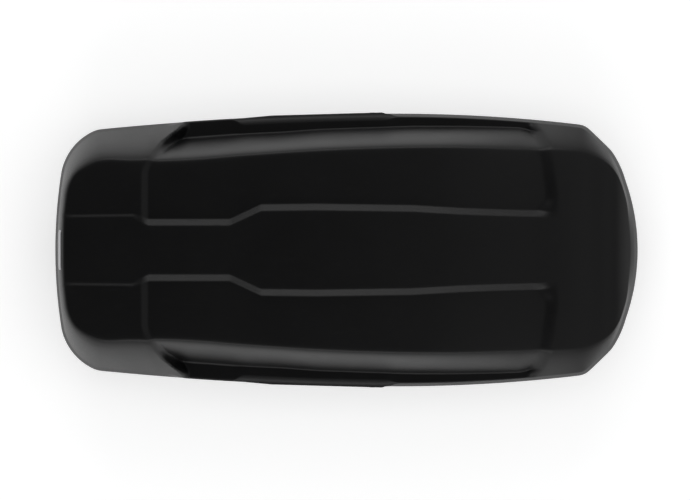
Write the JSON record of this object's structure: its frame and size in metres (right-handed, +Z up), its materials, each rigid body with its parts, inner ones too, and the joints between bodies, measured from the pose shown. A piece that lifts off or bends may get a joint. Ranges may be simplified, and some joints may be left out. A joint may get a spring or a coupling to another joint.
{
  "type": "roof cargo box",
  "caption": "Hard-shell roof cargo box with a sculpted black lid that opens from both sides, side handles, crossed lid struts and clamps for roof bars.",
  "frame": {"origin": "on the plane of the jaws' lowest face, under the middle of the box", "axes": "+X to the nose of the box (the car's front), +Y to the car's left, +Z up"},
  "size_m": [1.75, 0.8252, 0.485],
  "materials": {
    "lid_plastic": "black ABS with a fine grain",
    "bowl_plastic": "black ABS with a coarse grain",
    "trim_plastic": "black moulded trim, satin",
    "handle_plastic": "black glass-filled nylon, satin",
    "knob_plastic": "dark grey nylon",
    "clamp_plastic": "black glass-filled nylon",
    "jaw_steel": "black powder coat on steel",
    "claw_plastic": "grey acetal",
    "steel": "zinc plated steel",
    "rail_steel": "galvanised steel strip",
    "rail_aluminium": "mill-finish extruded aluminium",
    "stiffener_plastic": "black moulded ribbed bar",
    "fastener_steel": "zinc plated steel",
    "rubber": "black EPDM strip",
    "badge_metal": "satin grey plate, bare",
    "key_metal": "satin nickel on zinc",
    "strut_black": "black painted steel tube",
    "rod_steel": "bright ground steel rod"
  },
  "bodies": {
    "base": {"bowl": "bowl_plastic", "bar_seats": "rubber", "strikers_left": "steel", "strikers_right": "steel", "base_rail_left": "rail_steel", "base_rail_right": "rail_steel", "base_rivets_left": "fastener_steel", "base_rivets_right": "fastener_steel"},
    "claws_right": {"claws_right": "claw_plastic"},
    "lid": {"lid_shell": "lid_plastic", "lid_stiffeners": "stiffener_plastic", "rear_badge_plate": "badge_metal", "strut_brackets": "rail_aluminium", "lid_rail_left": "rail_aluminium", "lid_rail_right": "rail_aluminium", "rail_screws_left": "fastener_steel", "rail_screws_right": "fastener_steel", "side_trim_left": "trim_plastic", "side_trim_right": "trim_plastic", "handle_pin_left": "steel", "handle_pin_right": "steel"},
    "claws_left": {"claws_left": "claw_plastic"},
    "strut_tube_rear_left": {"strut_tube_rear_left": "strut_black"},
    "strut_rod_rear_left": {"strut_rod_rear_left": "rod_steel"},
    "strut_tube_front_left": {"strut_tube_front_left": "strut_black"},
    "strut_rod_front_left": {"strut_rod_front_left": "rod_steel"},
    "strut_tube_rear_right": {"strut_tube_rear_right": "strut_black"},
    "strut_rod_rear_right": {"strut_rod_rear_right": "rod_steel"},
    "strut_tube_front_right": {"strut_tube_front_right": "strut_black"},
    "strut_rod_front_right": {"strut_rod_front_right": "rod_steel"},
    "handle_left": {"handle_left": "handle_plastic"},
    "lock_bar_left": {"lock_bar_left": "steel"},
    "key_barrel_left": {"key_barrel_left": "key_metal"},
    "handle_right": {"handle_right": "handle_plastic"},
    "lock_bar_right": {"lock_bar_right": "steel"},
    "key_barrel_right": {"key_barrel_right": "key_metal"},
    "clamp_rear_left": {"clamp_carriage_rear_left": "clamp_plastic"},
    "knob_rear_left": {"clamp_knob_rear_left": "knob_plastic", "clamp_spindle_rear_left": "steel"},
    "jaw_fore_rear_left": {"clamp_jaw_fore_rear_left": "jaw_steel"},
    "jaw_aft_rear_left": {"clamp_jaw_aft_rear_left": "jaw_steel"},
    "clamp_rear_right": {"clamp_carriage_rear_right": "clamp_plastic"},
    "knob_rear_right": {"clamp_knob_rear_right": "knob_plastic", "clamp_spindle_rear_right": "steel"},
    "jaw_fore_rear_right": {"clamp_jaw_fore_rear_right": "jaw_steel"},
    "jaw_aft_rear_right": {"clamp_jaw_aft_rear_right": "jaw_steel"},
    "clamp_front_left": {"clamp_carriage_front_left": "clamp_plastic"},
    "knob_front_left": {"clamp_knob_front_left": "knob_plastic", "clamp_spindle_front_left": "steel"},
    "jaw_fore_front_left": {"clamp_jaw_fore_front_left": "jaw_steel"},
    "jaw_aft_front_left": {"clamp_jaw_aft_front_left": "jaw_steel"},
    "clamp_front_right": {"clamp_carriage_front_right": "clamp_plastic"},
    "knob_front_right": {"clamp_knob_front_right": "knob_plastic", "clamp_spindle_front_right": "steel"},
    "jaw_fore_front_right": {"clamp_jaw_fore_front_right": "jaw_steel"},
    "jaw_aft_front_right": {"clamp_jaw_aft_front_right": "jaw_steel"}
  },
  "joints": [
    {"name": "lid_opens_right", "type": "hinge", "parent": "base", "child": "claws_right", "pos_m": [0, 0.372, 0.193], "axis": [-1, 0, 0], "range_deg": [0, 48]},
    {"name": "lid_opens_left", "type": "hinge", "parent": "claws_right", "child": "lid", "pos_m": [0, -0.372, 0.193], "axis": [1, 0, 0], "range_deg": [0, 48]},
    {"name": "claws_left_turn", "type": "hinge", "parent": "lid", "child": "claws_left", "pos_m": [0, 0.372, 0.193], "axis": [-1, 0, 0], "range_deg": [-48, 0]},
    {"name": "strut_foot_rear_left", "type": "hinge", "parent": "claws_right", "child": "strut_tube_rear_left", "pos_m": [-0.453, 0.372, 0.193], "axis": [-1, 0, 0], "range_deg": [0, 1.76]},
    {"name": "strut_stroke_rear_left", "type": "slide", "parent": "strut_tube_rear_left", "child": "strut_rod_rear_left", "axis": [0, -0.9913, 0.1313], "range_m": [0, 0.0978]},
    {"name": "strut_foot_front_left", "type": "hinge", "parent": "claws_right", "child": "strut_tube_front_left", "pos_m": [0.453, 0.372, 0.193], "axis": [-1, 0, 0], "range_deg": [0, 1.76]},
    {"name": "strut_stroke_front_left", "type": "slide", "parent": "strut_tube_front_left", "child": "strut_rod_front_left", "axis": [0, -0.9913, 0.1313], "range_m": [0, 0.0978]},
    {"name": "strut_foot_rear_right", "type": "hinge", "parent": "claws_left", "child": "strut_tube_rear_right", "pos_m": [-0.417, -0.372, 0.193], "axis": [1, 0, 0], "range_deg": [0, 1.76]},
    {"name": "strut_stroke_rear_right", "type": "slide", "parent": "strut_tube_rear_right", "child": "strut_rod_rear_right", "axis": [0, 0.9913, 0.1313], "range_m": [0, 0.0978]},
    {"name": "strut_foot_front_right", "type": "hinge", "parent": "claws_left", "child": "strut_tube_front_right", "pos_m": [0.417, -0.372, 0.193], "axis": [1, 0, 0], "range_deg": [0, 1.76]},
    {"name": "strut_stroke_front_right", "type": "slide", "parent": "strut_tube_front_right", "child": "strut_rod_front_right", "axis": [0, 0.9913, 0.1313], "range_m": [0, 0.0978]},
    {"name": "lock_bar_slide_left", "type": "slide", "parent": "lid", "child": "lock_bar_left", "axis": [1, 0, 0], "range_m": [0, 0.01], "stiffness_N_per_m": 400},
    {"name": "handle_pull_left", "type": "hinge", "parent": "lid", "child": "handle_left", "pos_m": [-0.2, 0.39516, 0.2107], "axis": [0.9997, 0.0264, 0], "range_deg": [0, 22.01]},
    {"name": "key_turn_left", "type": "hinge", "parent": "lid", "child": "key_barrel_left", "pos_m": [0.08, 0.4, 0.205], "axis": [0, 1, 0], "range_deg": [0, 90]},
    {"name": "lock_bar_slide_right", "type": "slide", "parent": "lid", "child": "lock_bar_right", "axis": [1, 0, 0], "range_m": [0, 0.01], "stiffness_N_per_m": 400},
    {"name": "handle_pull_right", "type": "hinge", "parent": "lid", "child": "handle_right", "pos_m": [-0.2, -0.39516, 0.2107], "axis": [-0.9997, 0.0264, 0], "range_deg": [0, 22.01]},
    {"name": "key_turn_right", "type": "hinge", "parent": "lid", "child": "key_barrel_right", "pos_m": [0.08, -0.4, 0.205], "axis": [0, -1, 0], "range_deg": [0, 90]},
    {"name": "clamp_slide_rear_left", "type": "slide", "parent": "base", "child": "clamp_rear_left", "axis": [1, 0, 0], "range_m": [-0.06, 0.06]},
    {"name": "knob_turn_rear_left", "type": "hinge", "parent": "clamp_rear_left", "child": "knob_rear_left", "pos_m": [-0.38, 0.222, 0.1], "axis": [0, 0, 1], "range_deg": [0, 720]},
    {"name": "jaw_fore_open_rear_left", "type": "hinge", "parent": "clamp_rear_left", "child": "jaw_fore_rear_left", "pos_m": [-0.331, 0.222, 0.066], "axis": [0, -1, 0], "range_deg": [0, 16.01]},
    {"name": "jaw_aft_open_rear_left", "type": "hinge", "parent": "clamp_rear_left", "child": "jaw_aft_rear_left", "pos_m": [-0.429, 0.222, 0.066], "axis": [0, 1, 0], "range_deg": [0, 16.01]},
    {"name": "clamp_slide_rear_right", "type": "slide", "parent": "base", "child": "clamp_rear_right", "axis": [1, 0, 0], "range_m": [-0.06, 0.06]},
    {"name": "knob_turn_rear_right", "type": "hinge", "parent": "clamp_rear_right", "child": "knob_rear_right", "pos_m": [-0.38, -0.222, 0.1], "axis": [0, 0, 1], "range_deg": [0, 720]},
    {"name": "jaw_fore_open_rear_right", "type": "hinge", "parent": "clamp_rear_right", "child": "jaw_fore_rear_right", "pos_m": [-0.331, -0.222, 0.066], "axis": [0, -1, 0], "range_deg": [0, 16.01]},
    {"name": "jaw_aft_open_rear_right", "type": "hinge", "parent": "clamp_rear_right", "child": "jaw_aft_rear_right", "pos_m": [-0.429, -0.222, 0.066], "axis": [0, 1, 0], "range_deg": [0, 16.01]},
    {"name": "clamp_slide_front_left", "type": "slide", "parent": "base", "child": "clamp_front_left", "axis": [1, 0, 0], "range_m": [-0.06, 0.06]},
    {"name": "knob_turn_front_left", "type": "hinge", "parent": "clamp_front_left", "child": "knob_front_left", "pos_m": [0.315, 0.222, 0.1], "axis": [0, 0, 1], "range_deg": [0, 720]},
    {"name": "jaw_fore_open_front_left", "type": "hinge", "parent": "clamp_front_left", "child": "jaw_fore_front_left", "pos_m": [0.364, 0.222, 0.066], "axis": [0, -1, 0], "range_deg": [0, 16.01]},
    {"name": "jaw_aft_open_front_left", "type": "hinge", "parent": "clamp_front_left", "child": "jaw_aft_front_left", "pos_m": [0.266, 0.222, 0.066], "axis": [0, 1, 0], "range_deg": [0, 16.01]},
    {"name": "clamp_slide_front_right", "type": "slide", "parent": "base", "child": "clamp_front_right", "axis": [1, 0, 0], "range_m": [-0.06, 0.06]},
    {"name": "knob_turn_front_right", "type": "hinge", "parent": "clamp_front_right", "child": "knob_front_right", "pos_m": [0.315, -0.222, 0.1], "axis": [0, 0, 1], "range_deg": [0, 720]},
    {"name": "jaw_fore_open_front_right", "type": "hinge", "parent": "clamp_front_right", "child": "jaw_fore_front_right", "pos_m": [0.364, -0.222, 0.066], "axis": [0, -1, 0], "range_deg": [0, 16.01]},
    {"name": "jaw_aft_open_front_right", "type": "hinge", "parent": "clamp_front_right", "child": "jaw_aft_front_right", "pos_m": [0.266, -0.222, 0.066], "axis": [0, 1, 0], "range_deg": [0, 16.01]}
  ],
  "couplings": [
    {"joint": "claws_left_turn", "follows": "lid_opens_right", "ratio": -1},
    {"joint": "strut_foot_rear_left", "follows": "lid_opens_left", "ratio": 0.036567},
    {"joint": "strut_stroke_rear_left", "follows": "lid_opens_left", "m_per_rad": 0.11662},
    {"joint": "strut_foot_front_left", "follows": "lid_opens_left", "ratio": 0.036567},
    {"joint": "strut_stroke_front_left", "follows": "lid_opens_left", "m_per_rad": 0.11662},
    {"joint": "strut_foot_rear_right", "follows": "lid_opens_right", "ratio": 0.036567},
    {"joint": "strut_stroke_rear_right", "follows": "lid_opens_right", "m_per_rad": 0.11662},
    {"joint": "strut_foot_front_right", "follows": "lid_opens_right", "ratio": 0.036567},
    {"joint": "strut_stroke_front_right", "follows": "lid_opens_right", "m_per_rad": 0.11662},
    {"joint": "handle_pull_left", "follows": "lock_bar_slide_left", "rad_per_m": 38.397},
    {"joint": "handle_pull_right", "follows": "lock_bar_slide_right", "rad_per_m": 38.397},
    {"joint": "jaw_fore_open_rear_left", "follows": "knob_turn_rear_left", "ratio": 0.022222},
    {"joint": "jaw_aft_open_rear_left", "follows": "knob_turn_rear_left", "ratio": 0.022222},
    {"joint": "jaw_fore_open_rear_right", "follows": "knob_turn_rear_right", "ratio": 0.022222},
    {"joint": "jaw_aft_open_rear_right", "follows": "knob_turn_rear_right", "ratio": 0.022222},
    {"joint": "jaw_fore_open_front_left", "follows": "knob_turn_front_left", "ratio": 0.022222},
    {"joint": "jaw_aft_open_front_left", "follows": "knob_turn_front_left", "ratio": 0.022222},
    {"joint": "jaw_fore_open_front_right", "follows": "knob_turn_front_right", "ratio": 0.022222},
    {"joint": "jaw_aft_open_front_right", "follows": "knob_turn_front_right", "ratio": 0.022222}
  ]
}
